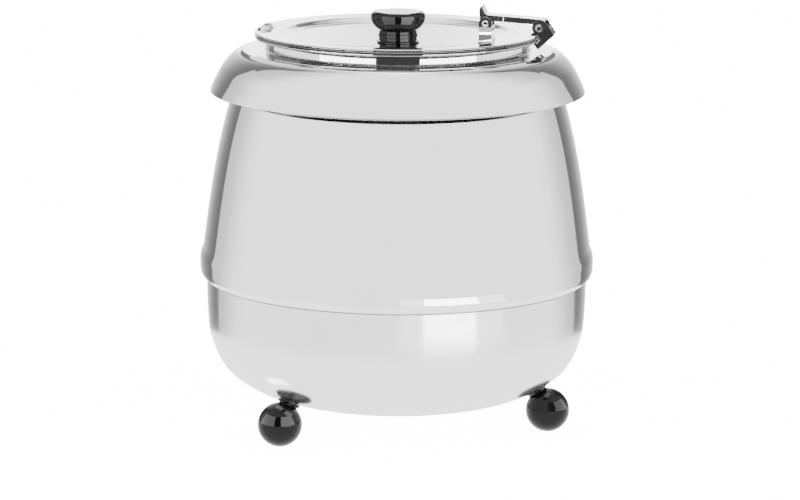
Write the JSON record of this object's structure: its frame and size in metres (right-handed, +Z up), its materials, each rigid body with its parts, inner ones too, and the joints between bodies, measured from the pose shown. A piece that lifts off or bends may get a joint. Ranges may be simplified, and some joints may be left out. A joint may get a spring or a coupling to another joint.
{
  "type": "soup kettle",
  "caption": "Electric water-bath soup kettle with bellied steel housing, domed collar, lift-out pot, lid on a double-pivot hinge and black ball feet.",
  "frame": {"origin": "on the kettle's vertical axis at floor level, where the ball feet rest", "axes": "+Z up along the axis, +X to the lid hinge, -X to the ladle notch, +Y to the dial, lamp and cord gland"},
  "size_m": [0.36, 0.364, 0.3875],
  "materials": {
    "mirror_steel": "mirror-polished stainless steel",
    "satin_steel": "fine satin stainless steel, turned grain",
    "chrome": "bright chrome-plated pressings",
    "plain_steel": "zinc-plated steel",
    "gloss_black": "glossy moulded black phenolic",
    "matte_black": "fine-grained matte black plastic",
    "ceramic": "glazed cream ceramic",
    "brass": "drawn brass and copper",
    "amber_lens": "clear amber plastic"
  },
  "bodies": {
    "housing": {"barrel_shell": "mirror_steel", "collar": "mirror_steel", "base_bowl": "satin_steel", "water_well": "satin_steel", "dial_plate": "satin_steel", "heat_shield": "plain_steel", "centre_stud": "plain_steel", "centre_washer": "plain_steel", "centre_nut": "plain_steel", "heating_element": "plain_steel", "thermostat_screw_1": "plain_steel", "thermostat_screw_2": "plain_steel", "thermostat_body": "matte_black", "cord_gland": "matte_black", "gland_nut": "matte_black", "thermal_cutout": "ceramic", "terminal_block": "ceramic", "sensor_bulb": "brass", "capillary_tube": "brass", "earth_stud": "brass", "pilot_lamp": "amber_lens", "ball_foot_1": "gloss_black", "foot_saucer_1": "gloss_black", "foot_stud_1": "plain_steel", "foot_nut_1": "plain_steel", "ball_foot_2": "gloss_black", "foot_saucer_2": "gloss_black", "foot_stud_2": "plain_steel", "foot_nut_2": "plain_steel", "ball_foot_3": "gloss_black", "foot_saucer_3": "gloss_black", "foot_stud_3": "plain_steel", "foot_nut_3": "plain_steel"},
    "pot": {"soup_pot": "mirror_steel", "rim_bracket": "chrome", "rim_pin": "chrome"},
    "arm": {"hinge_arm": "chrome"},
    "lid": {"lid": "mirror_steel", "lid_bracket": "chrome", "lid_pin": "chrome", "lid_knob": "gloss_black", "knob_disc": "chrome", "knob_screw": "plain_steel", "knob_washer": "plain_steel"},
    "dial": {"dial_knob": "matte_black", "dial_shaft": "plain_steel"}
  },
  "joints": [
    {"name": "pot_lift", "type": "slide", "parent": "housing", "child": "pot", "axis": [0, 0, 1], "range_m": [0, 0.26]},
    {"name": "arm_hinge", "type": "hinge", "parent": "pot", "child": "arm", "pos_m": [0.1294, 0, 0.3692], "axis": [0, 1, 0], "range_deg": [0, 100]},
    {"name": "lid_hinge", "type": "hinge", "parent": "arm", "child": "lid", "pos_m": [0.0808, 0, 0.3722], "axis": [0, 1, 0], "range_deg": [0, 3]},
    {"name": "dial_turn", "type": "hinge", "parent": "housing", "child": "dial", "pos_m": [0, 0.176, 0.106], "axis": [0, 1, 0], "range_deg": [0, 270]}
  ],
  "couplings": [
    {"joint": "lid_hinge", "follows": "arm_hinge", "ratio": 0.03}
  ]
}
